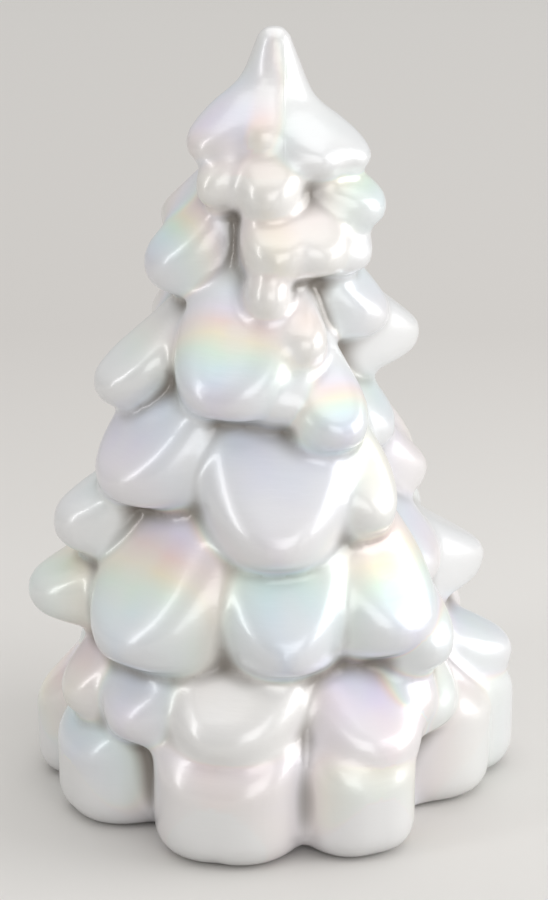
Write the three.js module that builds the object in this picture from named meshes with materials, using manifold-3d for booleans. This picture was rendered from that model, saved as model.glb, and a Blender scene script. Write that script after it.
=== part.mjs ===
// A pressed-glass Christmas tree figurine, hollow from below, standing on four thin clear pads.
// Millimetres, +Z up. The origin is on the table, on the tree's axis. The tree is seen from -Y.
import * as THREE from "three";
import { mergeVertices } from "three/addons/utils/BufferGeometryUtils.js";
import Module from "manifold-3d";

const wasm = await Module();
wasm.setup();

// The whole tree, over its pads
const TREE_HEIGHT = 203;
const PAD_THICKNESS = 0.5;

// The crown: a smooth cone with a hollowed slope, a round tip and a thin rim
const CROWN_HEIGHT = 33;
const CROWN_RADIUS = 15;
const CROWN_RIM_SLOPE = 45;
const CROWN_RIM_THICKNESS = 3;
const TIP_RADIUS = 4.6;
const TIP_HALF_ANGLE = 18;

// The core that carries the boughs: a cone that shows only in the gaps between them
const CORE_FOOT_RADIUS = 44;
const CORE_TOP_RADIUS = 10;
const CORE_TOP_BELOW_RIM = 9;

// The outline that the boughs are set out on: its radius at the foot and at the crown's rim
const FOOT_SPREAD = 68;
const CROWN_SPREAD = 22;

// The usual radius of a bough's nose at the foot and at the crown's rim
const FOOT_NOSE = 4.2;
const CROWN_NOSE = 2.8;

// The bevel round the underside of the foot ring, and how much of it the flat foot takes off again
const FOOT_BEVEL = 4.5;
const FOOT_CUT = 0.8;

// The hollow that the plunger leaves
const FOOT_WALL = 6;
const HOLLOW_TOP_RADIUS = 8;
const GLASS_ABOVE_HOLLOW = 57;
const HOLLOW_FOOT_RADIUS = CORE_FOOT_RADIUS - FOOT_WALL;

// How finely the round pieces are faceted
const CORE_SIDES = 36;
const HOLLOW_SIDES = 32;
const CURVE_STEPS = 6;

// Pads under the foot ring
const PAD_RADIUS = 5;
const PAD_EDGE_CLEARANCE = 1.5;
const PAD_SIDES = 24;
const PAD_DIRECTIONS = [-58, 25, 144, -147];

// How finely each bough is faceted, how much its rings crowd towards the nose, by what share it narrows
// to the axis, and the part of a foot bough's lower half that is wall
const BOUGH_SIDES = 10;
const NOSE_RINGS = 4;
const NOSE_CROWDING = 1.4;
const ROOT_NARROWING = 0.35;
const WALL_SHARE = 0.47;

// Each bough is a wedge of glass that leaves the core and ends in a rounded nose.
// level: the ring's height, as a share of the way from the foot to the crown's rim
// toward: degrees round the tree from the viewer's side, positive to the right
// lift, out: how far the bough's nose is above its ring's level, and outside the outline there
// span: degrees round the tree that its widest part takes
// taper: how far behind the nose that is, as a share of the width
// top, under: how steeply the upper side and the underside leave the nose, in degrees
// nose: radius of the nose seen from the side, against the usual one at that level
// blunt: bluntness of the nose seen from above, below 1 for a square one
// square: squareness in section, 1 for an ellipse and lower for a flatter top
// skirt: whether the sides run down to the table
const RINGS = [
  {
    // foot ring: stout boughs whose sides run down to the table
    shape: { level: 0.1, taper: 0.55, top: 48, under: 30, nose: 1, blunt: 0.75, square: 0.58, skirt: true },
    boughs: [
      { toward: -96, lift: 0.5, out: -0.5, span: 26, under: 16, nose: 0.75 },
      { toward: -62, lift: -1, out: -3, span: 34, under: 25 },
      { toward: -14, lift: 0, out: -0.4, span: 38 },
      { toward: 26, lift: 0, out: -2, span: 30 },
      { toward: 84, lift: 2, out: -6, span: 43 },
      { toward: 104, lift: 2, out: 1.1, span: 38, under: 42 },
      { toward: 144, lift: 1, out: -1.5, span: 36 },
      { toward: 178, lift: 1, out: -1, span: 34 },
      { toward: -148, lift: 1, out: -1.5, span: 36 },
      { toward: -120, lift: 2, out: -2.5, span: 32 },
    ],
  },
  {
    // second ring
    shape: { level: 0.19, taper: 0.74, top: 45, under: 20, nose: 1, blunt: 1, square: 0.58 },
    boughs: [
      { toward: -62, lift: 0.5, out: 1.5, span: 21 },
      { toward: -41, lift: -0.5, out: 0.5, span: 31 },
      { toward: -13, lift: -2, out: 1.5, span: 41 },
      { toward: 30, lift: -7, out: 0.5, span: 39 },
      { toward: 45, lift: 0.5, out: -4.5, span: 23 },
      { toward: 57, lift: -3.5, out: -5.5, span: 35 },
      { toward: 98, lift: -1, out: 4.5, span: 27, top: 25, under: 15 },
      { toward: 128, lift: 1.5, out: 0.5, span: 36 },
      { toward: 162, lift: 1.5, out: 0.5, span: 36 },
      { toward: -164, lift: 1.5, out: 0.5, span: 36 },
      { toward: -130, lift: 1.5, out: -0.5, span: 36 },
      { toward: -98, lift: 1.5, out: -7.5, span: 37 },
    ],
  },
  {
    // third ring
    shape: { level: 0.33, taper: 0.68, top: 50, under: 18, nose: 1, blunt: 0.95, square: 0.58 },
    boughs: [
      { toward: -77, lift: 0.5, out: 12.2, span: 25, top: 26 },
      { toward: -41, lift: -3.5, out: 8, span: 42 },
      { toward: 3, lift: -2, out: 5, span: 44, taper: 0.94, blunt: 1.2 },
      { toward: 40, lift: -1, out: 3, span: 34 },
      { toward: 50, lift: -8, out: 4, span: 22 },
      { toward: 78, lift: 5, out: -9, span: 46 },
      { toward: 109, lift: -2, out: 6, span: 36, top: 32, taper: 1.08, blunt: 1.2 },
      { toward: 146, lift: 0, out: 4, span: 40 },
      { toward: -178, lift: 1, out: 4, span: 38 },
      { toward: -142, lift: 0, out: 4, span: 40 },
      { toward: -110, lift: 1, out: -3, span: 36 },
    ],
  },
  {
    // fourth ring
    shape: { level: 0.47, taper: 0.74, top: 50, under: 15, nose: 1, blunt: 1.05, square: 0.58 },
    boughs: [
      { toward: -71, lift: -3.5, out: 13, span: 22, top: 30, under: 18, nose: 1.25 },
      { toward: 1, lift: 0, out: 5.5, span: 53, taper: 0.88, blunt: 1.2 },
      { toward: 37, lift: 4, out: -0.5, span: 27 },
      { toward: 135, lift: -2, out: 0.5, span: 40 },
      { toward: 170, lift: 0, out: 1.5, span: 44 },
      { toward: -148, lift: -2, out: 2.5, span: 44 },
      { toward: -110, lift: 0, out: -0.5, span: 38 },
    ],
  },
  {
    // fifth ring
    shape: { level: 0.57, taper: 0.68, top: 48, under: 10, nose: 1, blunt: 1.05, square: 0.58 },
    boughs: [
      { toward: -90, lift: -1, out: -6, span: 35 },
      { toward: -56, lift: -7, out: 9.5, span: 42 },
      { toward: 75, lift: 1, out: -10, span: 50 },
      { toward: 104, lift: -16, out: -1, span: 43, taper: 0.94 },
      { toward: 150, lift: 1, out: -3, span: 49 },
      { toward: -175, lift: 3, out: 0, span: 46 },
      { toward: -125, lift: 3, out: 0, span: 46 },
    ],
  },
  {
    // sixth ring
    shape: { level: 0.7, taper: 0.68, top: 50, under: 12, nose: 1, blunt: 1, square: 0.58 },
    boughs: [
      { toward: -71, lift: -9, out: 11, span: 27, top: 39, under: -34, nose: 1.55 },
      { toward: -20, lift: -4, out: 7, span: 46, blunt: 0.9 },
      { toward: 3, lift: -6, out: 2.5, span: 37, taper: 0.94 },
      { toward: 24, lift: -11.5, out: 9, span: 26, top: 39, under: 10 },
      { toward: 107, lift: -0.5, out: 3.5, span: 46, top: 40, under: 16, taper: 1.08, blunt: 1.2 },
      { toward: 150, lift: 0, out: 0, span: 46 },
      { toward: -168, lift: 1, out: 1, span: 44 },
      { toward: -125, lift: 2, out: 0, span: 46 },
      { toward: -95, lift: -1, out: -2, span: 37 },
    ],
  },
  {
    // seventh ring
    shape: { level: 0.83, taper: 0.68, top: 45, under: 5, nose: 1.1, blunt: 1, square: 0.58 },
    boughs: [
      { toward: -5, lift: -2.5, out: 2.5, span: 24, top: 32, under: 0, nose: 1.6 },
      { toward: 14, lift: -14, out: 5.5, span: 23, top: 35, under: 0, nose: 1.3 },
      { toward: 74, lift: -13, out: 0, span: 46 },
      { toward: -71, lift: 0, out: 4, span: 41, top: 42, under: 5, nose: 1.5 },
      { toward: 115, lift: -1, out: -6, span: 60 },
      { toward: 155, lift: 0, out: 0, span: 51 },
      { toward: -158, lift: 1, out: 0, span: 51 },
    ],
  },
  {
    // eighth ring
    shape: { level: 0.9, taper: 0.68, top: 45, under: 12, nose: 1.1, blunt: 1, square: 0.58 },
    boughs: [
      { toward: 67, lift: 5, out: 3.5, span: 43, top: 31, under: 15 },
      { toward: 54, lift: -6.5, out: 2, span: 44, top: 38, under: 10 },
      { toward: 28, lift: -5, out: 3, span: 43 },
      { toward: -4, lift: -3.5, out: 4, span: 37, top: 38 },
      { toward: -110, lift: -3, out: 3.5, span: 42 },
      { toward: 130, lift: 5, out: -1.5, span: 51 },
      { toward: 178, lift: 6, out: -0.5, span: 49 },
    ],
  },
  {
    // crown: ridges that fall from the tip
    shape: { level: 1, taper: 0.68, top: 45, under: 15, nose: 0.85, blunt: 1.1, square: 0.75 },
    boughs: [
      { toward: -23, lift: -6.5, out: 4, span: 54, nose: 1.15, taper: 0.81, blunt: 1.2 },
      { toward: -58, lift: 4, out: 3, span: 50, top: 38 },
      { toward: 69, lift: 0, out: 4, span: 48, top: 36, under: -5 },
      { toward: 5, lift: 5, out: -4.5, span: 45, top: 46 },
      { toward: 40, lift: 1, out: 1.5, span: 60, top: 40 },
      { toward: 120, lift: 1, out: -2, span: 51, top: 36 },
      { toward: 172, lift: 2, out: -2, span: 58 },
      { toward: -128, lift: 4.5, out: -1.5, span: 50, top: 36 },
    ],
  },
];

// A closed geometry as a solid for joining and cutting.
function solid(geometry) {
  const bare = geometry.clone();
  bare.deleteAttribute("normal");
  bare.deleteAttribute("uv");
  const merged = mergeVertices(bare, 1e-4);
  const vertProperties = new Float32Array(merged.attributes.position.array);
  const triVerts = new Uint32Array(merged.index.array);
  return new wasm.Manifold(new wasm.Mesh({ numProp: 3, vertProperties, triVerts }));
}

// A solid back as a geometry.
function geometryOf(manifold) {
  const mesh = manifold.getMesh();
  const geometry = new THREE.BufferGeometry();
  geometry.setAttribute("position", new THREE.BufferAttribute(mesh.vertProperties, 3));
  geometry.setIndex(new THREE.BufferAttribute(mesh.triVerts, 1));
  geometry.computeVertexNormals();
  return geometry;
}

// A profile of radius and height, turned round the Z axis.
function turned(profile, sides) {
  return new THREE.LatheGeometry(profile.getPoints(CURVE_STEPS), sides).rotateX(Math.PI / 2);
}

// A number's size raised to a power, with the number's own sign.
function bent(value, power) {
  return Math.sign(value) * Math.abs(value) ** power;
}

// -1 or 1 by the side that a number lies on, 0 in the middle.
function sideOf(value) {
  return Math.abs(value) < 1e-6 ? 0 : Math.sign(value);
}

// A round bar, closed at both ends, whose rings are reshaped into the wedge.
function boughGeometry({ toward, level, lift, out, span, taper, top, under, nose, blunt, square, skirt }) {
  const tip = level * (TREE_HEIGHT - CROWN_HEIGHT) + lift + PAD_THICKNESS;
  const reach = THREE.MathUtils.lerp(FOOT_SPREAD, CROWN_SPREAD, level) + out;
  const width = 2 * reach * Math.sin(THREE.MathUtils.degToRad(span / 2));
  const noseRadius = nose * THREE.MathUtils.lerp(FOOT_NOSE, CROWN_NOSE, level);
  const droop = THREE.MathUtils.degToRad((top - under) / 2);
  const spread = Math.tan(THREE.MathUtils.degToRad((top + under) / 2));
  const length = reach / Math.cos(droop);
  const widest = taper * width;
  const place = new THREE.Matrix4()
    .makeRotationZ(THREE.MathUtils.degToRad(toward - 90))
    .multiply(new THREE.Matrix4().makeTranslation(reach, 0, tip))
    .multiply(new THREE.Matrix4().makeRotationY(droop));
  const bar = [];
  for (let ring = 0; ring <= NOSE_RINGS; ring++) {
    const turn = ((ring / NOSE_RINGS) ** NOSE_CROWDING * Math.PI) / 2;
    bar.push(new THREE.Vector2(Math.sin(turn), widest * (1 - Math.cos(turn))));
  }
  bar.push(new THREE.Vector2(1, length), new THREE.Vector2(0, length));
  const geometry = new THREE.LatheGeometry(bar, BOUGH_SIDES);
  const position = geometry.attributes.position;
  const point = new THREE.Vector3();
  for (let i = 0; i < position.count; i++) {
    const back = position.getY(i);
    const girth = Math.hypot(position.getX(i), position.getZ(i));
    const around = Math.PI * (0.5 - (2 / BOUGH_SIDES) * Math.floor(i / bar.length));
    const narrowed = 1 - ROOT_NARROWING * Math.max(0, (back - widest) / (length - widest));
    const halfWidth = (width / 2) * girth ** blunt * narrowed;
    if (skirt && Math.sin(around) < -1e-6) {
      // the sides of a foot bough fall straight to the table, with a bevel at the bottom
      const fallen = Math.min(1, -Math.sin(around) / WALL_SHARE);
      const bevel = fallen === 1 ? FOOT_BEVEL : 0;
      const aside = sideOf(Math.cos(around)) * (halfWidth - bevel * girth);
      point.set(-back - bevel * Math.max(0, 1 - back / widest), aside, 0).applyMatrix4(place);
      point.z += (PAD_THICKNESS - FOOT_CUT - point.z) * fallen;
    } else {
      const rounded = Math.sqrt(1 - (1 - Math.min(1, back / noseRadius)) ** 2);
      const halfDepth = girth > 1e-6 ? noseRadius * rounded + back * spread : 0;
      const aside = bent(Math.cos(around), square) * halfWidth;
      point.set(-back, aside, bent(Math.sin(around), square) * halfDepth).applyMatrix4(place);
    }
    position.setXYZ(i, point.x, point.y, point.z);
  }
  return geometry;
}

// The core and the crown in one turned piece.
function coreGeometry() {
  const fall = Math.tan(THREE.MathUtils.degToRad(TIP_HALF_ANGLE));
  const rise = Math.tan(THREE.MathUtils.degToRad(CROWN_RIM_SLOPE));
  const rim = TREE_HEIGHT - CROWN_HEIGHT;
  const tip = new THREE.Vector2(0, TREE_HEIGHT - TIP_RADIUS);
  const shoulder = new THREE.Vector2(TIP_RADIUS, 0).rotateAround({ x: 0, y: 0 }, Math.atan(fall)).add(tip);
  // the tip's slope run on down meets the rim's slope run on up at this drop below the shoulder
  const drop = (CROWN_RADIUS - shoulder.x - (shoulder.y - rim) / rise) / (fall - 1 / rise);
  const profile = new THREE.Path()
    .moveTo(0, 0)
    .lineTo(CORE_FOOT_RADIUS, 0)
    .lineTo(CORE_TOP_RADIUS, rim - CORE_TOP_BELOW_RIM)
    .lineTo(CROWN_RADIUS, rim - CROWN_RIM_THICKNESS)
    .lineTo(CROWN_RADIUS, rim)
    .quadraticCurveTo(shoulder.x + drop * fall, shoulder.y - drop, shoulder.x, shoulder.y)
    .absarc(tip.x, tip.y, TIP_RADIUS, Math.atan(fall), Math.PI / 2, false);
  return turned(profile, CORE_SIDES);
}

// The plunger and its plate, which come up into the glass from below. The plate takes off all that is
// below the foot: it is twice as wide as the foot, and as thick as the tree is tall.
function plungerGeometry() {
  const roof = TREE_HEIGHT - GLASS_ABOVE_HOLLOW - HOLLOW_TOP_RADIUS;
  const profile = new THREE.Path()
    .moveTo(0, PAD_THICKNESS - TREE_HEIGHT)
    .lineTo(2 * FOOT_SPREAD, PAD_THICKNESS - TREE_HEIGHT)
    .lineTo(2 * FOOT_SPREAD, PAD_THICKNESS)
    .lineTo(HOLLOW_FOOT_RADIUS, PAD_THICKNESS)
    .lineTo(HOLLOW_TOP_RADIUS, roof)
    .absarc(0, roof, HOLLOW_TOP_RADIUS, 0, Math.PI / 2, false);
  return turned(profile, HOLLOW_SIDES);
}

function glassTree() {
  const boughs = RINGS.flatMap(({ shape, boughs }) => boughs.map((bough) => ({ ...shape, ...bough })));
  const grown = wasm.Manifold.union([coreGeometry(), ...boughs.map(boughGeometry)].map(solid));
  return geometryOf(grown.subtract(solid(plungerGeometry())));
}

const tree = new THREE.Group();

const pearlGlass = new THREE.MeshStandardMaterial({ color: 0xf4f3f4, roughness: 0.16, metalness: 0 });
const glass = new THREE.Mesh(glassTree(), pearlGlass);
glass.name = "glass_tree";
tree.add(glass);

const clearVinyl = new THREE.MeshStandardMaterial({ color: 0xdfe3e4, roughness: 0.35, metalness: 0 });
PAD_DIRECTIONS.forEach((toward, i) => {
  const pad = new THREE.Mesh(
    new THREE.CylinderGeometry(PAD_RADIUS, PAD_RADIUS, PAD_THICKNESS, PAD_SIDES), clearVinyl);
  const angle = THREE.MathUtils.degToRad(toward - 90);
  const radius = HOLLOW_FOOT_RADIUS + PAD_EDGE_CLEARANCE + PAD_RADIUS;
  pad.rotation.x = Math.PI / 2;
  pad.position.set(radius * Math.cos(angle), radius * Math.sin(angle), PAD_THICKNESS / 2);
  pad.name = `rest_pad_${i + 1}`;
  tree.add(pad);
});

export default tree;
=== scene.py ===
import math

import bmesh
import bpy
import numpy as np
from mathutils import Matrix, Vector


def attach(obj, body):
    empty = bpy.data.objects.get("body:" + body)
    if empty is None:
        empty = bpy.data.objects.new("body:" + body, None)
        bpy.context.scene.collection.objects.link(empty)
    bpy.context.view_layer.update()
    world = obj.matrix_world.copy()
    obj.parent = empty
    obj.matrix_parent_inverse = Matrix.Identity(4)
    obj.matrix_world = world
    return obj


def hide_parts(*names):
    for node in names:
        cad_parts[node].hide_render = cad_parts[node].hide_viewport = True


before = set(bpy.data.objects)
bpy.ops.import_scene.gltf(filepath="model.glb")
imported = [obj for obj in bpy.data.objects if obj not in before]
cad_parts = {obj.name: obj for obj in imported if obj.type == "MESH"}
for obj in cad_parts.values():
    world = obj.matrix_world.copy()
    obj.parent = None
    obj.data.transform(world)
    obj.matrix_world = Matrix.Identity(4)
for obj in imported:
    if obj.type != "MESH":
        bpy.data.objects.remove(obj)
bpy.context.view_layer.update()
scene = bpy.context.scene
scene.view_settings.view_transform = "Standard"

# Camera: the photograph looks down on the tree by 20 degrees from a metre away, with the trunk's axis
# in the middle of the picture and a long lens, so that the sides run nearly parallel.
CAMERA_TARGET = Vector((0, 0, 0.091))
CAMERA_DISTANCE = 1.0
CAMERA_ELEVATION = math.radians(20)
CAMERA_LENS = 154.9
CAMERA_SENSOR = 36
camera_data = bpy.data.cameras.new("camera")
camera_data.lens = CAMERA_LENS
camera_data.sensor_width = CAMERA_SENSOR
camera = bpy.data.objects.new("camera", camera_data)
towards_camera = Vector((0, -math.cos(CAMERA_ELEVATION), math.sin(CAMERA_ELEVATION)))
camera.location = CAMERA_TARGET + CAMERA_DISTANCE * towards_camera
camera.rotation_euler = towards_camera.to_track_quat("Z", "Y").to_euler()
scene.collection.objects.link(camera)
scene.camera = camera

# The tree: one pressing of opaque white glass, made in a mould of several parts. A plunger leaves it
# hollow from below. The overlapping boughs are fused, and fire polishing has rounded every edge.
MM = 0.001
# the crown, the core and the hollow
TREE_HEIGHT = 203
PAD_THICKNESS = 0.5
CROWN_HEIGHT = 33
CROWN_RADIUS = 15
CROWN_RIM_THICKNESS = 3
CROWN_RIM_SLOPE = math.radians(45)
CROWN_SLOPE_STEPS = 14
TIP_RADIUS = 5.1
TIP_HALF_ANGLE = math.radians(20)
TIP_POLISHED_OFF = 0.85
CORE_FOOT_RADIUS = 44
CORE_TOP_RADIUS = 10
CORE_TOP_BELOW_RIM = 9
FOOT_DEPTH = 4
FOOT_WALL = 6
HOLLOW_TOP_RADIUS = 8
GLASS_ABOVE_HOLLOW = 57
MOUTH_ROUNDING = 1.5
PLUNGER_STEP = 0.01
# the boughs: their usual reach and nose at the foot and at the crown's rim, and what all of them share
FOOT_SPREAD = 68
CROWN_SPREAD = 22
FOOT_NOSE = 4.2
CROWN_NOSE = 2.8
ROOT_NARROWING = 0.35
ROOT_POLE = -0.99
NOSE_CROWDING = 1.7
SKIRT_SIDES = 0.94
SKIRT_UNDERSIDE = 2.9
FOOT_ROUNDING = 7
FOOT_CUT = 0.8
# how finely the forms are made, and how they are fused and polished
QUARTER = math.pi / 2
BOUGH_SIDES = 48
BOUGH_RINGS = 28
TURNED_SIDES = 96
ARC_STEPS = 8
SPECK = 1e-6
MERGED_WITHIN = 1e-4
CUT_WITHIN = 1e-7
SKIN_VOXEL = 1.05 * MM
CREASE_FILLET = 0.6 * MM
CROWN_FILLET = 3 * MM
POLISHING_PASSES = 3
POLISHING_FACTOR = 0.5
# the glass, the hues of its lustre in one turn round the rainbow, and how these lie on the boughs; the
# lustre's sheen, which really shifts with the angle of view, is painted as fixed hues
GLASS_COLOR = (0.9, 0.9, 0.905)
GLASS_METALLIC = 0.22
GLASS_IOR = 1.55
GLOSS_BEST, GLOSS_WORST = 0.28, 0.36
COAT_WEIGHT = 0.6
COAT_ROUGHNESS = 0.07
FILM_SHEEN_COLORS = [
    (0, (0.68, 0.78, 0.95)),
    (0.17, (0.82, 0.74, 0.93)),
    (0.33, (0.96, 0.72, 0.68)),
    (0.48, (0.97, 0.88, 0.66)),
    (0.64, (0.76, 0.94, 0.80)),
    (0.8, (0.70, 0.90, 0.94)),
]
FILM_FIRST_ORDER = -2
FILM_ORDERS = 5
FILM_STEP = 0.382
FILM_USUAL_RUN = 0.8
FILM_USUAL_STRENGTH = 0.6
FILM_USUAL_MIDDLE = 0.3
FILM_BLEND = 0.08
FILM_LEAST_SIZE = 0.1
PATCH_LENGTH = 0.7
PATCH_WIDTH = 1
BELL_FILM = 0.12
BELL_FILM_TOWARD = -8
BELL_FILM_PER_DEGREE = 0.011
BELL_FILM_SPAN = 35
BELL_FILM_STRENGTH = 0.85
BELL_FILM_FADE = 14
BELL_FIT = 1.15
BELL_FIT_BELOW = 9
# the clouds and patches in the lustre, the tooling's streaks, the painted shade in the creases and the
# mould's seam
CLOUD_SCALE, CLOUD_DETAIL = 40, 2
CLOUD_SWAY = 0.3
PATCH_SCALE, PATCH_DETAIL = 60, 1
PATCH_BEGINS, PATCH_FULL = 0.3, 0.6
PATCH_LEAST = 0.6
STREAK_SCALE, STREAK_DETAIL = 110, 3
STREAK_STRENGTH = 0.12
STREAK_DEPTH = 0.0004
STREAK_STRETCH = (1, 1, 7)
CREASE_SMOOTHINGS = 60
CREASE_BEGINS = 0.3
CREASE_FULL = 2.4
CREASE_DARKNESS = 1
CREASE_PAINTED_SHADE = (0.25, 0.225, 0.2)
SEAM_RIGHT = 2.6 * MM
SEAM_WIDTH = 0.35 * MM
SEAM_HEIGHT = 0.7
SEAM_FOOT = 172 * MM
SEAM_FADE = 6 * MM

# level: a ring's height, as a share of the way from the foot to the crown's rim
# toward: degrees round the tree from the viewer's side, positive to the right
# lift, out: how far a bough's nose is above its ring's level, and outside the outline there
# span: degrees round the tree that its widest part takes
# taper: how far behind the nose that is, as a share of the width
# top, under: how steeply the upper side and the underside leave the nose, in degrees
# nose: radius of the nose seen from the side, against the usual one at that level
# blunt: bluntness of the nose seen from above, below 1 for a square one
# square: squareness in section, 1 for an ellipse and lower for a flatter top
# skirt: whether the sides run down to the table
# film: the lustre's hue at the root and at the nose, in turns round the rainbow, how strong it is, and
# where along the bough it is strongest, 1 being the nose, 0 the widest part and -1 the root
FOOT = dict(level=0.1, taper=0.55, top=48, under=30, nose=1, blunt=0.75, square=0.58, skirt=True)
SECOND = dict(level=0.19, taper=0.74, top=45, under=20, nose=1, blunt=1, square=0.58, skirt=False)
THIRD = dict(level=0.33, taper=0.68, top=50, under=18, nose=1, blunt=0.95, square=0.58, skirt=False)
FOURTH = dict(level=0.47, taper=0.74, top=50, under=15, nose=1, blunt=1.05, square=0.58, skirt=False)
FIFTH = dict(level=0.57, taper=0.68, top=48, under=10, nose=1, blunt=1.05, square=0.58, skirt=False)
SIXTH = dict(level=0.7, taper=0.68, top=50, under=12, nose=1, blunt=1, square=0.58, skirt=False)
SEVENTH = dict(level=0.83, taper=0.68, top=45, under=5, nose=1.1, blunt=1, square=0.58, skirt=False)
EIGHTH = dict(level=0.9, taper=0.68, top=45, under=12, nose=1.1, blunt=1, square=0.58, skirt=False)
CROWN = dict(level=1, taper=0.68, top=45, under=15, nose=0.85, blunt=1.1, square=0.75, skirt=False)
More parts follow.
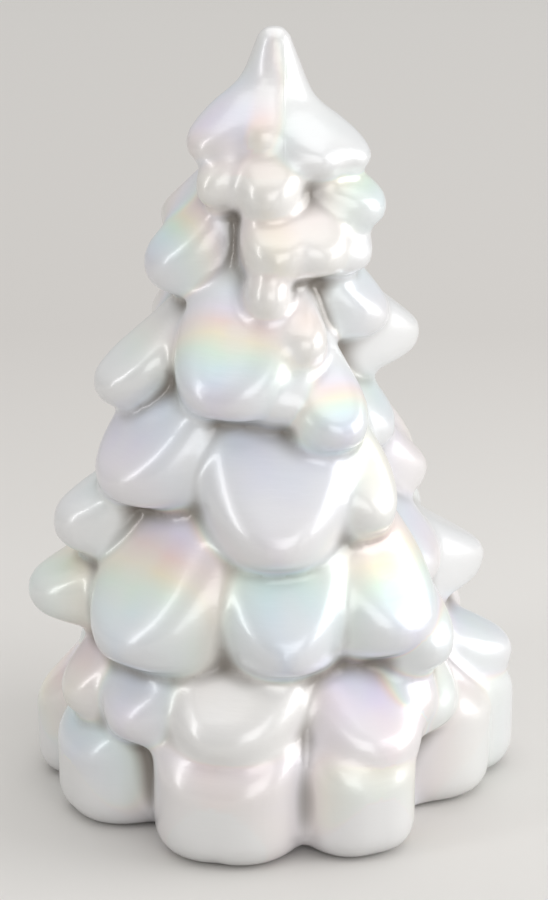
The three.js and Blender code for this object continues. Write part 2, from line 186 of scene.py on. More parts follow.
BOUGHS = [
    dict(FOOT, toward=-96, lift=0.5, out=-0.5, span=26, under=16, nose=0.75, film=(-0.3, 0.4, 1, 0.5)),
    dict(FOOT, toward=-62, lift=-1, out=-3, span=34, under=25, film=(-0.5, 0.9, 1, 0.4)),
    dict(FOOT, toward=-14, lift=0, out=-0.4, span=38, film=(-0.45, 0.2, 0.7, 0.5)),
    dict(FOOT, toward=26, lift=0, out=-2, span=30, film=(-0.4, 0.45, 0.9, 0.45)),
    dict(FOOT, toward=84, lift=2, out=-6, span=43),
    dict(FOOT, toward=104, lift=2, out=1.1, span=38, under=42),
    dict(FOOT, toward=144, lift=1, out=-1.5, span=36),
    dict(FOOT, toward=178, lift=1, out=-1, span=34),
    dict(FOOT, toward=-148, lift=1, out=-1.5, span=36),
    dict(FOOT, toward=-120, lift=2, out=-2.5, span=32),
    dict(SECOND, toward=-62, lift=0.5, out=1.5, span=21, film=(-0.3, 0.3, 0.9, 0.3)),
    dict(SECOND, toward=-41, lift=-0.5, out=0.5, span=31, film=(0.3, 0.95, 1, 0.4)),
    dict(SECOND, toward=-13, lift=-2, out=1.5, span=41, film=(0.1, 0.3, 0.2, 0.3)),
    dict(SECOND, toward=30, lift=-7, out=0.5, span=39, film=(-0.35, 0.15, 1, 0.4)),
    dict(SECOND, toward=45, lift=0.5, out=-4.5, span=23),
    dict(SECOND, toward=57, lift=-3.5, out=-5.5, span=35),
    dict(SECOND, toward=98, lift=-1, out=4.5, span=27, top=25, under=15),
    dict(SECOND, toward=128, lift=1.5, out=0.5, span=36),
    dict(SECOND, toward=162, lift=1.5, out=0.5, span=36),
    dict(SECOND, toward=-164, lift=1.5, out=0.5, span=36),
    dict(SECOND, toward=-130, lift=1.5, out=-0.5, span=36),
    dict(SECOND, toward=-98, lift=1.5, out=-7.5, span=37),
    dict(THIRD, toward=-77, lift=0.5, out=12.2, span=25, top=26, film=(-0.3, 0.6, 1, 0.3)),
    dict(THIRD, toward=-41, lift=-3.5, out=8, span=42, film=(-0.94, 0.84, 0.9, 0.35)),
    dict(THIRD, toward=3, lift=-2, out=5, span=44, taper=0.94, blunt=1.2, film=(-0.6, 0.9, 1, 0.45)),
    dict(THIRD, toward=40, lift=-1, out=3, span=34, film=(-0.7, 0.9, 1, 0.4)),
    dict(THIRD, toward=50, lift=-8, out=4, span=22),
    dict(THIRD, toward=78, lift=5, out=-9, span=46),
    dict(THIRD, toward=109, lift=-2, out=6, span=36, top=32, taper=1.08, blunt=1.2,
         film=(0.6, 0.8, 0.2, 0.4)),
    dict(THIRD, toward=146, lift=0, out=4, span=40),
    dict(THIRD, toward=-178, lift=1, out=4, span=38),
    dict(THIRD, toward=-142, lift=0, out=4, span=40),
    dict(THIRD, toward=-110, lift=1, out=-3, span=36),
    dict(FOURTH, toward=-71, lift=-3.5, out=13, span=22, top=30, under=18, nose=1.25,
         film=(0.1, 0.9, 0.4, 0)),
    dict(FOURTH, toward=1, lift=0, out=5.5, span=53, taper=0.88, blunt=1.2, film=(0.6, 1, 0.75, 0.25)),
    dict(FOURTH, toward=37, lift=4, out=-0.5, span=27, film=(0.15, 0.4, 0.5, 0.2)),
    dict(FOURTH, toward=135, lift=-2, out=0.5, span=40),
    dict(FOURTH, toward=170, lift=0, out=1.5, span=44),
    dict(FOURTH, toward=-148, lift=-2, out=2.5, span=44),
    dict(FOURTH, toward=-110, lift=0, out=-0.5, span=38),
    dict(FIFTH, toward=-90, lift=-1, out=-6, span=35),
    dict(FIFTH, toward=-56, lift=-7, out=9.5, span=42, film=(0.65, 1, 0.8, 0.35)),
    dict(FIFTH, toward=75, lift=1, out=-10, span=50),
    dict(FIFTH, toward=104, lift=-16, out=-1, span=43, taper=0.94),
    dict(FIFTH, toward=150, lift=1, out=-3, span=49),
    dict(FIFTH, toward=-175, lift=3, out=0, span=46),
    dict(FIFTH, toward=-125, lift=3, out=0, span=46),
    dict(SIXTH, toward=-71, lift=-9, out=11, span=27, top=39, under=-34, nose=1.55,
         film=(0.2, 0.9, 0.3, 0)),
    dict(SIXTH, toward=-20, lift=-4, out=7, span=46, blunt=0.9, film=(-1.15, 1.05, 0.9, 0.45)),
    dict(SIXTH, toward=3, lift=-6, out=2.5, span=37, taper=0.94, film=(0.6, 0.8, 0.3, 0.3)),
    dict(SIXTH, toward=24, lift=-11.5, out=9, span=26, top=39, under=10, film=(-0.9, 0.95, 0.8, 0.5)),
    dict(SIXTH, toward=107, lift=-0.5, out=3.5, span=46, top=40, under=16, taper=1.08, blunt=1.2,
         film=(0.6, 0.8, 0.2, 0.4)),
    dict(SIXTH, toward=150, lift=0, out=0, span=46),
    dict(SIXTH, toward=-168, lift=1, out=1, span=44),
    dict(SIXTH, toward=-125, lift=2, out=0, span=46),
    dict(SIXTH, toward=-95, lift=-1, out=-2, span=37),
    dict(SEVENTH, toward=-3, lift=-2.5, out=2.5, span=21, top=32, under=0, nose=1.6, square=0.95,
         film=(0.1, 0.3, 0.4, 0.5)),
    dict(SEVENTH, toward=14, lift=-14, out=5.5, span=23, top=35, under=0, nose=1.3, square=0.95,
         film=(0.1, 0.3, 0.5, 0.2)),
    dict(SEVENTH, toward=74, lift=-13, out=0, span=46),
    dict(SEVENTH, toward=-71, lift=0, out=4, span=41, top=42, under=5, nose=1.5,
         film=(-0.5, 0.95, 0.9, 0.3)),
    dict(SEVENTH, toward=115, lift=-1, out=-6, span=60),
    dict(SEVENTH, toward=155, lift=0, out=0, span=51),
    dict(SEVENTH, toward=-158, lift=1, out=0, span=51),
    dict(EIGHTH, toward=67, lift=5, out=3.5, span=43, top=31, under=15, film=(-0.2, 0.7, 0.9, 0.3)),
    dict(EIGHTH, toward=54, lift=-6.5, out=2, span=44, top=38, under=10, film=(0.6, 0.8, 0.2, 0.4)),
    dict(EIGHTH, toward=28, lift=-5, out=3, span=43, film=(0, 0.35, 0.4, 0.3)),
    dict(EIGHTH, toward=2, lift=-4, out=4, span=36, top=38, film=(0, 0.35, 0.6, 0.5)),
    dict(EIGHTH, toward=-110, lift=-3, out=3.5, span=42),
    dict(EIGHTH, toward=130, lift=5, out=-1.5, span=51),
    dict(EIGHTH, toward=178, lift=6, out=-0.5, span=49),
    dict(CROWN, level=0.96, toward=-43, lift=0.8, out=2.8, span=26, nose=1.13, taper=0.81,
         film=(0.1, 0.3, 0.3, 0.5)),
    dict(CROWN, level=0.96, toward=-5, lift=-0.6, out=2, span=44, nose=1.13, taper=0.75, blunt=1.1,
         film=(0.1, 0.3, 0.3, 0.5)),
    dict(CROWN, toward=-58, lift=4, out=3, span=50, top=38, film=(-0.3, 0.2, 0.9, 0.3)),
    dict(CROWN, toward=69, lift=0, out=4, span=48, top=36, under=-5, film=(0.6, 0.8, 0.2, 0.4)),
    dict(CROWN, toward=-12, lift=6.5, out=-2.5, span=30, top=46, film=(0.1, 0.3, 0.6, 0.4)),
    dict(CROWN, toward=40, lift=1, out=1.5, span=60, top=40, film=(0.6, 0.8, 0.2, 0.4)),
    dict(CROWN, toward=120, lift=1, out=-2, span=51, top=36),
    dict(CROWN, toward=172, lift=2, out=-2, span=58),
    dict(CROWN, toward=-128, lift=4.5, out=-1.5, span=50, top=36),
]


def lay_out(bough):
    """A bough's sizes, and the matrix from its own space (X out along it, Z up) to the tree's."""
    tip = bough["level"] * (TREE_HEIGHT - CROWN_HEIGHT) + bough["lift"] + PAD_THICKNESS
    reach = FOOT_SPREAD + (CROWN_SPREAD - FOOT_SPREAD) * bough["level"] + bough["out"]
    width = 2 * reach * math.sin(math.radians(bough["span"] / 2))
    droop = math.radians((bough["top"] - bough["under"]) / 2)
    sizes = dict(
        nose=bough["nose"] * (FOOT_NOSE + (CROWN_NOSE - FOOT_NOSE) * bough["level"]),
        spread=math.tan(math.radians((bough["top"] + bough["under"]) / 2)),
        length=reach / math.cos(droop),
        width=width,
        widest=bough["taper"] * width,
        blunt=bough["blunt"],
        square=bough["square"],
        skirt=bough["skirt"],
        drop=tip - PAD_THICKNESS + FOOT_CUT,
        droop=droop,
    )
    turn = Matrix.Rotation(math.radians(bough["toward"] - 90), 4, "Z")
    place = turn @ Matrix.Translation((reach, 0, tip)) @ Matrix.Rotation(droop, 4, "Y")
    return sizes, place


def grow_bough(form, bough):
    """A ball drawn out into a wedge of glass with a rounded nose."""
    sizes, place = lay_out(bough)
    ball = bmesh.new()
    bmesh.ops.create_uvsphere(ball, u_segments=BOUGH_SIDES, v_segments=BOUGH_RINGS, radius=1)
    for vert in ball.verts:
        ahead = vert.co.z
        if ahead > 0:
            ahead = math.cos(QUARTER * (math.acos(min(1, ahead)) / QUARTER) ** NOSE_CROWDING)
        girth = math.sqrt(max(0, 1 - ahead ** 2))
        if ahead >= 0:
            back = sizes["widest"] * (1 - ahead)
        else:
            back = sizes["widest"] - ahead * (sizes["length"] - sizes["widest"])
            girth = 1 if ahead > ROOT_POLE else girth
        around = math.atan2(vert.co.y, vert.co.x)
        flat = math.copysign(abs(math.sin(around)) ** sizes["square"], math.sin(around))
        edge = math.copysign(abs(math.cos(around)) ** sizes["square"], math.cos(around))
        rounded = math.sqrt(1 - (1 - min(1, back / sizes["nose"])) ** 2)
        half_depth = (sizes["nose"] * rounded + back * sizes["spread"]) * (girth > SPECK)
        behind_widest = (back - sizes["widest"]) / (sizes["length"] - sizes["widest"])
        narrowed = 1 - ROOT_NARROWING * max(0, behind_widest)
        height = flat * half_depth
        half_width = sizes["width"] / 2 * girth ** sizes["blunt"] * narrowed
        if sizes["skirt"] and flat < -SPECK:
            # the sides of a foot bough fall straight to the table, where they turn in under it
            down = min(1, -math.sin(around) / SKIRT_SIDES)
            drop = sizes["drop"] + math.sin(sizes["droop"]) * back
            turned_in = max(0, FOOT_ROUNDING - drop * (1 - down))
            inset = FOOT_ROUNDING - math.sqrt(FOOT_ROUNDING ** 2 - turned_in ** 2)
            half_width = max(0, half_width - inset * girth)
            towards_side = 1 if down < 1 else abs(math.cos(around)) * SKIRT_UNDERSIDE
            edge = math.copysign(towards_side, math.cos(around))
            vert.co = place @ Vector((-back - inset * max(0, ahead), edge * half_width, 0))
            vert.co.z += (PAD_THICKNESS - FOOT_CUT - vert.co.z) * down
        else:
            vert.co = place @ Vector((-back, edge * half_width, height))
    grown = bpy.data.meshes.new("bough")
    ball.to_mesh(grown)
    ball.free()
    form.from_mesh(grown)
    bpy.data.meshes.remove(grown)


def turn_profile(form, profile):
    """A closed turned piece: the profile of (radius, height) points spun round the tree's axis."""
    line = [form.verts.new((radius, 0, height)) for radius, height in profile]
    edges = [form.edges.new(pair) for pair in zip(line, line[1:])]
    bmesh.ops.spin(form, geom=line + edges, axis=(0, 0, 1), cent=(0, 0, 0), angle=math.tau,
                   steps=TURNED_SIDES, use_merge=True)
    bmesh.ops.remove_doubles(form, verts=form.verts[:], dist=MERGED_WITHIN)
    bmesh.ops.recalc_face_normals(form, faces=form.faces[:])


def arc(radius, height, size, start, end):
    """Points of an arc round (radius, height), from one angle to another in degrees."""
    angles = [math.radians(start + (end - start) * i / ARC_STEPS) for i in range(ARC_STEPS + 1)]
    return [(radius + size * math.cos(a), height + size * math.sin(a)) for a in angles]


def piece_from(form, name):
    """The form as an object, scaled from millimetres to metres."""
    bmesh.ops.scale(form, vec=(MM, MM, MM), verts=form.verts[:])
    mesh = bpy.data.meshes.new(name)
    form.to_mesh(mesh)
    form.free()
    piece = bpy.data.objects.new(name, mesh)
    scene.collection.objects.link(piece)
    return piece


def settle(piece):
    """The piece's mesh becomes what its modifiers make of it."""
    shaped = piece.evaluated_get(bpy.context.evaluated_depsgraph_get())
    mesh = bpy.data.meshes.new_from_object(shaped)
    mesh.name = piece.data.name
    piece.modifiers.clear()
    piece.data = mesh


def add_skin(piece):
    """One even skin round all that the piece's mesh encloses."""
    skin = piece.modifiers.new("skin", "REMESH")
    skin.mode = "VOXEL"
    skin.voxel_size = SKIN_VOXEL


def fill_creases(piece, fillet):
    """Rounds the hollows between the boughs: the skin moves out by the fillet, closes, and moves back."""
    add_skin(piece)
    for distance in (fillet, -fillet):
        push = piece.modifiers.new("push", "DISPLACE")
        push.mid_level = 0
        push.strength = distance
        add_skin(piece)
    settle(piece)


# the crown, whose ridges run together into one flared bell
rim = TREE_HEIGHT - CROWN_HEIGHT
fall, rise = math.tan(TIP_HALF_ANGLE), math.tan(CROWN_RIM_SLOPE)
shoulder = (TIP_RADIUS * math.cos(TIP_HALF_ANGLE),
            TREE_HEIGHT - TIP_RADIUS + TIP_RADIUS * math.sin(TIP_HALF_ANGLE))
drop = (CROWN_RADIUS - shoulder[0] - (shoulder[1] - rim) / rise) / (fall - 1 / rise)
bend = (shoulder[0] + drop * fall, shoulder[1] - drop)
crown_slope = [tuple((1 - s) ** 2 * a + 2 * s * (1 - s) * b + s ** 2 * c
                     for a, b, c in zip((CROWN_RADIUS, rim), bend, shoulder))
               for s in [i / CROWN_SLOPE_STEPS for i in range(CROWN_SLOPE_STEPS + 1)]]
crown_form = bmesh.new()
turn_profile(crown_form, [
    (0, rim - CORE_TOP_BELOW_RIM),
    (CORE_TOP_RADIUS, rim - CORE_TOP_BELOW_RIM),
    (CROWN_RADIUS, rim - CROWN_RIM_THICKNESS),
    *crown_slope,
    *arc(0, TREE_HEIGHT - TIP_RADIUS + TIP_POLISHED_OFF, TIP_RADIUS, math.degrees(TIP_HALF_ANGLE), 90)[1:],
])
for bough in BOUGHS:
    if bough["level"] == 1:
        grow_bough(crown_form, bough)
crown = piece_from(crown_form, "crown")
fill_creases(crown, CROWN_FILLET)

# the core and the boughs, with the crown among them
glass_form = bmesh.new()
turn_profile(glass_form, [
    (0, PAD_THICKNESS - FOOT_DEPTH),
    (CORE_FOOT_RADIUS, PAD_THICKNESS - FOOT_DEPTH),
    (CORE_FOOT_RADIUS, 0),
    (CORE_TOP_RADIUS, rim - CORE_TOP_BELOW_RIM),
    (0, rim - CORE_TOP_BELOW_RIM),
])
for bough in BOUGHS:
    if bough["level"] < 1:
        grow_bough(glass_form, bough)
crown.data.transform(Matrix.Scale(1 / MM, 4))
glass_form.from_mesh(crown.data)
bpy.data.objects.remove(crown)
glass = piece_from(glass_form, "pearl_glass_tree")
fill_creases(glass, CREASE_FILLET)


def cut_flat(form, height):
    """Takes off all that is below the height, in metres, and closes the cut with a flat face."""
    everything = form.verts[:] + form.edges[:] + form.faces[:]
    cut = bmesh.ops.bisect_plane(form, geom=everything, dist=CUT_WITHIN,
                                 plane_co=(0, 0, height), plane_no=(0, 0, 1), clear_inner=True)
    rim_edges = [part for part in cut["geom_cut"] if isinstance(part, bmesh.types.BMEdge)]
    bmesh.ops.triangle_fill(form, edges=rim_edges, use_beauty=True)


def reshape(piece, change):
    """Runs a change on the form of the piece's mesh."""
    form = bmesh.new()
    form.from_mesh(piece.data)
    change(form)
    form.to_mesh(piece.data)
    form.free()


def polish(form):
    """Fire polishing: every vertex settles between its neighbours, a few times over."""
    for _ in range(POLISHING_PASSES):
        bmesh.ops.smooth_vert(form, verts=form.verts[:], factor=POLISHING_FACTOR,
                              use_axis_x=True, use_axis_y=True, use_axis_z=True)


reshape(glass, lambda form: cut_flat(form, PAD_THICKNESS * MM))
add_skin(glass)
settle(glass)
reshape(glass, polish)

# The plunger, which presses the hollow from below. Its shoulder rounds the hollow's mouth.
roof = TREE_HEIGHT - GLASS_ABOVE_HOLLOW - HOLLOW_TOP_RADIUS
mouth = CORE_FOOT_RADIUS - FOOT_WALL
plunger_form = bmesh.new()
turn_profile(plunger_form, [
    (0, -HOLLOW_TOP_RADIUS),
    (mouth + MOUTH_ROUNDING, -HOLLOW_TOP_RADIUS),
    (mouth + MOUTH_ROUNDING, PAD_THICKNESS - PLUNGER_STEP),
    *arc(mouth + MOUTH_ROUNDING, PAD_THICKNESS + MOUTH_ROUNDING, MOUTH_ROUNDING, -90, -180)[1:],
    (HOLLOW_TOP_RADIUS, roof),
    *arc(0, roof, HOLLOW_TOP_RADIUS, 0, 90)[1:],
])
plunger = piece_from(plunger_form, "plunger")
pressing = glass.modifiers.new("pressing", "BOOLEAN")
pressing.operation = "DIFFERENCE"
pressing.solver = "MANIFOLD"
pressing.object = plunger
settle(glass)
bpy.data.objects.remove(plunger)
for face in glass.data.polygons:
    face.use_smooth = True


def lustre_of(points):
    """The film's hue and strength at points in millimetres: each bough has its own run of hues."""
    # a fit is 0 along a bough's middle and 1 at its surface, and the best fit gives a point its hue
    fits, hues, strengths = [], [], []
    for number, bough in enumerate(BOUGHS):
        sizes, place = lay_out(bough)
        local = points @ np.array(place.inverted().to_3x3()).T + np.array(place.inverted().translation)
        back = np.maximum(-local[:, 0], 0)
        ahead = np.clip(1 - back / sizes["widest"], -1, 1)
        girth = np.sqrt(1 - np.clip(ahead, 0, 1) ** 2)
        rounded = np.sqrt(1 - (1 - np.clip(back / sizes["nose"], 0, 1)) ** 2)
        half_depth = sizes["nose"] * rounded + back * sizes["spread"] + FILM_LEAST_SIZE
        behind_widest = (back - sizes["widest"]) / (sizes["length"] - sizes["widest"])
        narrowed = 1 - ROOT_NARROWING * np.maximum(0, behind_widest)
        half_width = sizes["width"] / 2 * girth ** sizes["blunt"] * narrowed + FILM_LEAST_SIZE
        half_width = np.maximum(FILM_LEAST_SIZE, half_width)
        past_ends = np.maximum(local[:, 0], 0) + np.maximum(back - sizes["length"], 0)
        fits.append(np.hypot(local[:, 1] / half_width, local[:, 2] / half_depth) + past_ends)
        start = number * FILM_STEP % 1
        usual = (start, start + FILM_USUAL_RUN, FILM_USUAL_STRENGTH, FILM_USUAL_MIDDLE)
        start, end, strength, middle = bough.get("film", usual)
        hues.append(start + (end - start) * (1 + ahead) / 2)
        strengths.append(strength * np.exp(-((ahead - middle) / PATCH_LENGTH) ** 2
                                           - (local[:, 1] / half_width / PATCH_WIDTH) ** 2))
    # the bell of the crown, from its rim up to the tip
    fits.append(np.where(points[:, 2] > rim, BELL_FIT, BELL_FIT_BELOW))
    toward = np.degrees(np.arctan2(points[:, 0], -points[:, 1])) - BELL_FILM_TOWARD
    hues.append(BELL_FILM + toward * BELL_FILM_PER_DEGREE)
    below_tip = np.clip((TREE_HEIGHT - points[:, 2]) / BELL_FILM_FADE, 0, 1)
    strengths.append(BELL_FILM_STRENGTH * below_tip * np.exp(-(toward / BELL_FILM_SPAN) ** 2))
    fits, hues, strengths = np.array(fits), np.array(hues), np.array(strengths)
    shares = np.exp((fits.min(axis=0) - fits) / FILM_BLEND)
    shares /= shares.sum(axis=0)
    return (shares * hues).sum(axis=0), (shares * strengths).sum(axis=0)


def depth_in_creases(points, normals, edges):
    """How deep each point lies in a hollow, in millimetres, under a smoothed copy of the surface."""
    ends = np.concatenate((edges[:, 0], edges[:, 1]))
    others = np.concatenate((edges[:, 1], edges[:, 0]))
    neighbours = np.bincount(ends, minlength=len(points))
    smoothed = points
    for _ in range(CREASE_SMOOTHINGS):
        totals = [np.bincount(ends, weights=smoothed[others, axis], minlength=len(points))
                  for axis in range(3)]
        smoothed = np.stack(totals, axis=1) / neighbours[:, None]
    return ((smoothed - points) * normals).sum(axis=1)


def read_rows(parts, field, width, kind=float):
    """A field of all the vertices or edges of a mesh, in one row for each."""
    values = np.empty(width * len(parts), dtype=kind)
    parts.foreach_get(field, values)
    return values.reshape(-1, width)


spots = read_rows(glass.data.vertices, "co", 3) / MM
normals = read_rows(glass.data.vertices, "normal", 3)
pairs = read_rows(glass.data.edges, "vertices", 2, np.int32)
layers = dict(zip(("film_hue", "film_strength"), lustre_of(spots)))
# how deep each point lies in a crease sets how much painted shade the glass gets there
layers["crease"] = depth_in_creases(spots, normals, pairs)
for name, values in layers.items():
    layer = glass.data.attributes.new(name, "FLOAT", "POINT")
    layer.data.foreach_set("value", values.astype(np.float32))


def start_material(name, sockets):
    """A material whose shader has these plain values, with its nodes, its links and the shader."""
    material = bpy.data.materials.new(name)
    material.use_nodes = True
    nodes, links = material.node_tree.nodes, material.node_tree.links
    shader = nodes["Principled BSDF"]
    for socket, value in sockets.items():
        shader.inputs[socket].default_value = value
    return material, nodes, links, shader


def add_node(nodes, kind, sockets=None, **properties):
    """A node with these properties, and with plain values on some of its input sockets."""
    node = nodes.new(kind)
    for name, value in properties.items():
        setattr(node, name, value)
    for socket, value in (sockets or {}).items():
        node.inputs[socket].default_value = value
    return node


def color_sockets(mix):
    """The two colour inputs of a Mix node, and its colour output."""
    return [socket for socket in (*mix.inputs, *mix.outputs) if socket.type == "RGBA"]


pearl, nodes, links, shader = start_material("pearl_glass", {
    "Metallic": GLASS_METALLIC,
    "IOR": GLASS_IOR,
    "Coat Weight": COAT_WEIGHT,
    "Coat Roughness": COAT_ROUGHNESS,
})

# the lustre: a run of pale hues, swayed by clouds, over the white glass. The coating is real, but its
# shifting sheen is painted here as fixed colour.
glass_place = add_node(nodes, "ShaderNodeTexCoord")
hue = add_node(nodes, "ShaderNodeAttribute", attribute_name="film_hue")
strength = add_node(nodes, "ShaderNodeAttribute", attribute_name="film_strength")
cloud = add_node(nodes, "ShaderNodeTexNoise", {"Scale": CLOUD_SCALE, "Detail": CLOUD_DETAIL})
links.new(glass_place.outputs["Object"], cloud.inputs["Vector"])
sway = add_node(nodes, "ShaderNodeMath", {1: CLOUD_SWAY}, operation="MULTIPLY_ADD")
links.new(cloud.outputs["Fac"], sway.inputs[0])
links.new(hue.outputs["Fac"], sway.inputs[2])
along = add_node(nodes, "ShaderNodeMapRange", {
    "From Min": FILM_FIRST_ORDER,
    "From Max": FILM_FIRST_ORDER + FILM_ORDERS,
})
links.new(sway.outputs[0], along.inputs["Value"])
rainbow = add_node(nodes, "ShaderNodeValToRGB")
links.new(along.outputs["Result"], rainbow.inputs["Fac"])
ramp = rainbow.color_ramp
ramp.interpolation = "LINEAR"
orders = [((order + at) / FILM_ORDERS, color)
          for order in range(FILM_ORDERS) for at, color in FILM_SHEEN_COLORS]
while len(ramp.elements) < len(orders):
    ramp.elements.new(1)
for i, (at, color) in enumerate(orders):
    ramp.elements[i].position = at
    ramp.elements[i].color = (*color, 1)

# where the lustre shows: patchily, and by each bough's own strength
patch = add_node(nodes, "ShaderNodeTexNoise", {"Scale": PATCH_SCALE, "Detail": PATCH_DETAIL})
links.new(glass_place.outputs["Object"], patch.inputs["Vector"])
patchy = add_node(nodes, "ShaderNodeMapRange", {
    "From Min": PATCH_BEGINS,
    "From Max": PATCH_FULL,
    "To Min": PATCH_LEAST,
}, interpolation_type="SMOOTHSTEP")
links.new(patch.outputs["Fac"], patchy.inputs["Value"])
amount = add_node(nodes, "ShaderNodeMath", operation="MULTIPLY")
links.new(strength.outputs["Fac"], amount.inputs[0])
links.new(patchy.outputs["Result"], amount.inputs[1])
tint = add_node(nodes, "ShaderNodeMix", data_type="RGBA")
white, film, tinted = color_sockets(tint)
white.default_value = (*GLASS_COLOR, 1)
links.new(rainbow.outputs["Color"], film)
links.new(amount.outputs[0], tint.inputs["Factor"])

# painted shade in the creases between the boughs: where little light gets in, the base colour is greyed
# towards a dark beige
crease = add_node(nodes, "ShaderNodeAttribute", attribute_name="crease")
crease_shade_amount = add_node(nodes, "ShaderNodeMapRange", {
    "From Min": CREASE_BEGINS,
    "From Max": CREASE_FULL,
    "To Max": CREASE_DARKNESS,
}, interpolation_type="SMOOTHSTEP")
links.new(crease.outputs["Fac"], crease_shade_amount.inputs["Value"])
shaded = add_node(nodes, "ShaderNodeMix", data_type="RGBA")
open_glass, painted_crease_shade, glass_color = color_sockets(shaded)
links.new(tinted, open_glass)
painted_crease_shade.default_value = (*CREASE_PAINTED_SHADE, 1)
links.new(crease_shade_amount.outputs["Result"], shaded.inputs["Factor"])
links.new(glass_color, shader.inputs["Base Color"])

# the seam between two parts of the mould, down the bell of the crown
position = add_node(nodes, "ShaderNodeSeparateXYZ")
links.new(glass_place.outputs["Object"], position.inputs[0])
beside = add_node(nodes, "ShaderNodeMath", {1: SEAM_RIGHT}, operation="SUBTRACT")
links.new(position.outputs["X"], beside.inputs[0])
off_seam = add_node(nodes, "ShaderNodeMath", operation="ABSOLUTE")
links.new(beside.outputs[0], off_seam.inputs[0])
seam = add_node(nodes, "ShaderNodeMapRange", {
    "From Max": SEAM_WIDTH,
    "To Min": SEAM_HEIGHT,
    "To Max": 0,
}, interpolation_type="SMOOTHSTEP")
links.new(off_seam.outputs[0], seam.inputs["Value"])
on_bell = add_node(nodes, "ShaderNodeMapRange", {
    "From Min": SEAM_FOOT,
    "From Max": SEAM_FOOT + SEAM_FADE,
}, interpolation_type="SMOOTHSTEP")
links.new(position.outputs["Z"], on_bell.inputs["Value"])
seam_relief = add_node(nodes, "ShaderNodeMath", operation="MULTIPLY")
links.new(seam.outputs["Result"], seam_relief.inputs[0])
links.new(on_bell.outputs["Result"], seam_relief.inputs[1])

# fine streaks of the mould's tooling under the polish
grain = add_node(nodes, "ShaderNodeMapping", {"Scale": STREAK_STRETCH})
links.new(glass_place.outputs["Object"], grain.inputs["Vector"])
streak = add_node(nodes, "ShaderNodeTexNoise", {"Scale": STREAK_SCALE, "Detail": STREAK_DETAIL})
links.new(grain.outputs["Vector"], streak.inputs["Vector"])
relief = add_node(nodes, "ShaderNodeMath", operation="ADD")
links.new(streak.outputs["Fac"], relief.inputs[0])
links.new(seam_relief.outputs[0], relief.inputs[1])
bump = add_node(nodes, "ShaderNodeBump", {"Strength": STREAK_STRENGTH, "Distance": STREAK_DEPTH})
links.new(relief.outputs[0], bump.inputs["Height"])
links.new(bump.outputs["Normal"], shader.inputs["Normal"])
gloss = add_node(nodes, "ShaderNodeMapRange", {"To Min": GLOSS_BEST, "To Max": GLOSS_WORST})
links.new(cloud.outputs["Fac"], gloss.inputs["Value"])
links.new(gloss.outputs["Result"], shader.inputs["Roughness"])
glass.data.materials.clear()
glass.data.materials.append(pearl)
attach(glass, "root")
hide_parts("glass_tree")

# Rest pads: four thin discs of clear soft vinyl stuck under the foot, punched from a sheet, with their
# lower edge worn round. They keep the glass off the table.
PAD_RADIUS = 5
PAD_EDGE_CLEARANCE = 1.5
PAD_DIRECTIONS = [-58, 25, 144, -147]
PAD_SIDES = 64
PAD_EDGE_ROUNDING = 0.15
PAD_EDGE_STEPS = 3
VINYL_IOR = 1.5
VINYL_TRANSMISSION = 0.6
VINYL_DULL, VINYL_CLEAR = (0.66, 0.69, 0.7), (0.8, 0.82, 0.82)
VINYL_SMOOTH, VINYL_ROUGH = 0.3, 0.5
HAZE_SCALE = 900
vinyl, vinyl_nodes, vinyl_links, vinyl_shader = start_material("clear_vinyl", {
    "IOR": VINYL_IOR,
    "Transmission Weight": VINYL_TRANSMISSION,
})
vinyl_place = add_node(vinyl_nodes, "ShaderNodeTexCoord")
haze = add_node(vinyl_nodes, "ShaderNodeTexNoise", {"Scale": HAZE_SCALE})
vinyl_links.new(vinyl_place.outputs["Object"], haze.inputs["Vector"])
haze_color = add_node(vinyl_nodes, "ShaderNodeMix", data_type="RGBA")
dull, clear, vinyl_color = color_sockets(haze_color)
dull.default_value, clear.default_value = (*VINYL_DULL, 1), (*VINYL_CLEAR, 1)
vinyl_links.new(haze.outputs["Fac"], haze_color.inputs["Factor"])
vinyl_links.new(vinyl_color, vinyl_shader.inputs["Base Color"])
haze_gloss = add_node(vinyl_nodes, "ShaderNodeMapRange", {"To Min": VINYL_SMOOTH, "To Max": VINYL_ROUGH})
vinyl_links.new(haze.outputs["Fac"], haze_gloss.inputs["Value"])
vinyl_links.new(haze_gloss.outputs["Result"], vinyl_shader.inputs["Roughness"])
for number, direction in enumerate(PAD_DIRECTIONS, 1):
    pad_form = bmesh.new()
    turned = math.radians(direction)
    away = CORE_FOOT_RADIUS - FOOT_WALL + PAD_EDGE_CLEARANCE + PAD_RADIUS
    middle = Vector((away * math.sin(turned), -away * math.cos(turned), PAD_THICKNESS / 2))
    bmesh.ops.create_cone(pad_form, cap_ends=True, segments=PAD_SIDES, radius1=PAD_RADIUS,
                          radius2=PAD_RADIUS, depth=PAD_THICKNESS, matrix=Matrix.Translation(middle))
    worn = [edge for edge in pad_form.edges
            if all(vert.co.z < PAD_THICKNESS / 2 for vert in edge.verts)]
    bmesh.ops.bevel(pad_form, geom=worn, offset=PAD_EDGE_ROUNDING, segments=PAD_EDGE_STEPS,
                    profile=0.5, affect="EDGES", material=-1)
    pad = piece_from(pad_form, f"clear_pad_{number}")
    pad.data.materials.append(vinyl)
    for face in pad.data.polygons:
        face.use_smooth = len(face.vertices) == 4
    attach(pad, "root")
    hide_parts(f"rest_pad_{number}")

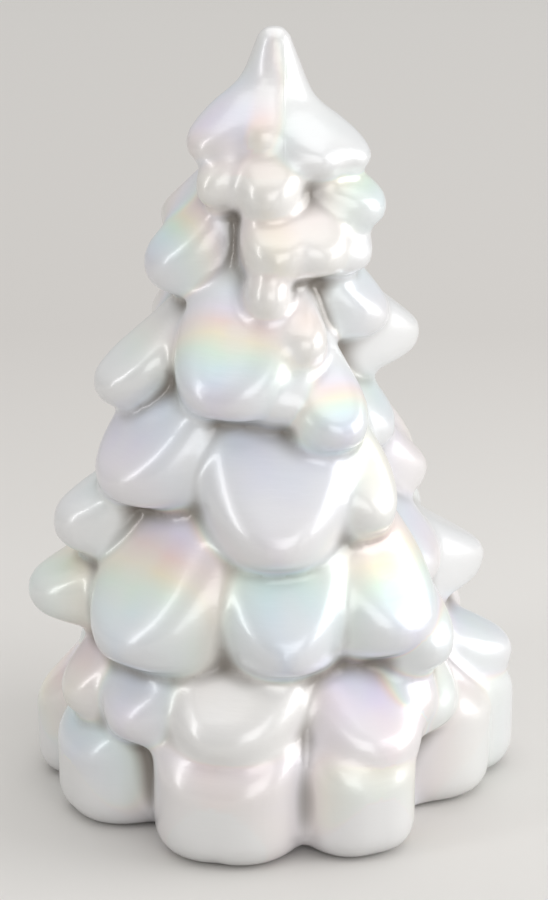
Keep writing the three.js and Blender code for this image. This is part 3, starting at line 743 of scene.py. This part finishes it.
# The floor: a plain pale table that runs on behind the tree, and the light of a small studio.
FLOOR_HALF_WIDTH = 3000
FLOOR_BELOW_PADS = 0.02
FLOOR_NEAR, FLOOR_FAR = 0.15, 0.85
FLOOR_GREYEST_AT = 0.32
FLOOR_ROUGHNESS = 0.8
FLOOR_BY_THE_TREE = (0.75, 0.735, 0.715)
FLOOR_SHADE_BEHIND = (0.67, 0.65, 0.63)
FLOOR_BOUNCE = (0.42, 0.41, 0.39)
floor_form = bmesh.new()
bmesh.ops.create_grid(floor_form, x_segments=1, y_segments=1, size=FLOOR_HALF_WIDTH,
                      matrix=Matrix.Translation((0, 0, -FLOOR_BELOW_PADS)))
floor = piece_from(floor_form, "table_top")
floor_paint, floor_nodes, floor_links, floor_shader = start_material("table_top", {
    "Roughness": FLOOR_ROUGHNESS,
})
# the table is seen, also in the glass, brighter than the light that it throws back on it, and a band of
# painted shade makes it greyest behind the tree
floor_place = add_node(floor_nodes, "ShaderNodeTexCoord")
floor_position = add_node(floor_nodes, "ShaderNodeSeparateXYZ")
floor_links.new(floor_place.outputs["Object"], floor_position.inputs[0])
farther = add_node(floor_nodes, "ShaderNodeMapRange", {"From Min": FLOOR_NEAR, "From Max": FLOOR_FAR})
floor_links.new(floor_position.outputs["Y"], farther.inputs["Value"])
greys = add_node(floor_nodes, "ShaderNodeValToRGB")
greys.color_ramp.elements[0].color = (*FLOOR_BY_THE_TREE, 1)
greys.color_ramp.elements[1].color = (*FLOOR_BY_THE_TREE, 1)
# the painted shade behind the tree
behind = greys.color_ramp.elements.new(FLOOR_GREYEST_AT)
behind.color = (*FLOOR_SHADE_BEHIND, 1)
floor_links.new(farther.outputs["Result"], greys.inputs["Fac"])
ray = add_node(floor_nodes, "ShaderNodeLightPath")
floor_color = add_node(floor_nodes, "ShaderNodeMix", data_type="RGBA")
bounced, seen_color, floor_mixed = color_sockets(floor_color)
bounced.default_value = (*FLOOR_BOUNCE, 1)
floor_links.new(greys.outputs["Color"], seen_color)
seen = ray.outputs["Is Camera Ray"]
for other in ("Is Glossy Ray", "Is Transmission Ray"):
    either = add_node(floor_nodes, "ShaderNodeMath", operation="MAXIMUM")
    floor_links.new(seen, either.inputs[0])
    floor_links.new(ray.outputs[other], either.inputs[1])
    seen = either.outputs[0]
floor_links.new(seen, floor_color.inputs["Factor"])
floor_links.new(floor_mixed, floor_shader.inputs["Base Color"])
floor.data.materials.append(floor_paint)


def hang_light(name, at, size, power):
    """A rectangular soft light that faces the middle of the tree."""
    lamp = bpy.data.lights.new(name, "AREA")
    lamp.shape = "RECTANGLE"
    lamp.size, lamp.size_y = size
    lamp.energy = power
    light = bpy.data.objects.new(name, lamp)
    light.location = at
    light.rotation_euler = (Vector(at) - CAMERA_TARGET).to_track_quat("Z", "Y").to_euler()
    scene.collection.objects.link(light)


hang_light("window_right", at=(1.2, -0.1, 0.4), size=(1.0, 1.0), power=9.5)
hang_light("window_front", at=(0.4, -1.25, 0.5), size=(0.9, 0.9), power=3)
hang_light("strip_left", at=(-0.9, -0.5, 0.5), size=(0.15, 0.9), power=1.5)
hang_light("ceiling", at=(0.0, 0.2, 1.5), size=(2.0, 2.0), power=10)
STUDIO_COLOR = (0.8, 0.79, 0.77)
STUDIO_STRENGTH = 0.6
studio = bpy.data.worlds.new("studio")
studio.use_nodes = True
walls = studio.node_tree.nodes["Background"]
walls.inputs["Color"].default_value = (*STUDIO_COLOR, 1)
walls.inputs["Strength"].default_value = STUDIO_STRENGTH
scene.world = studio
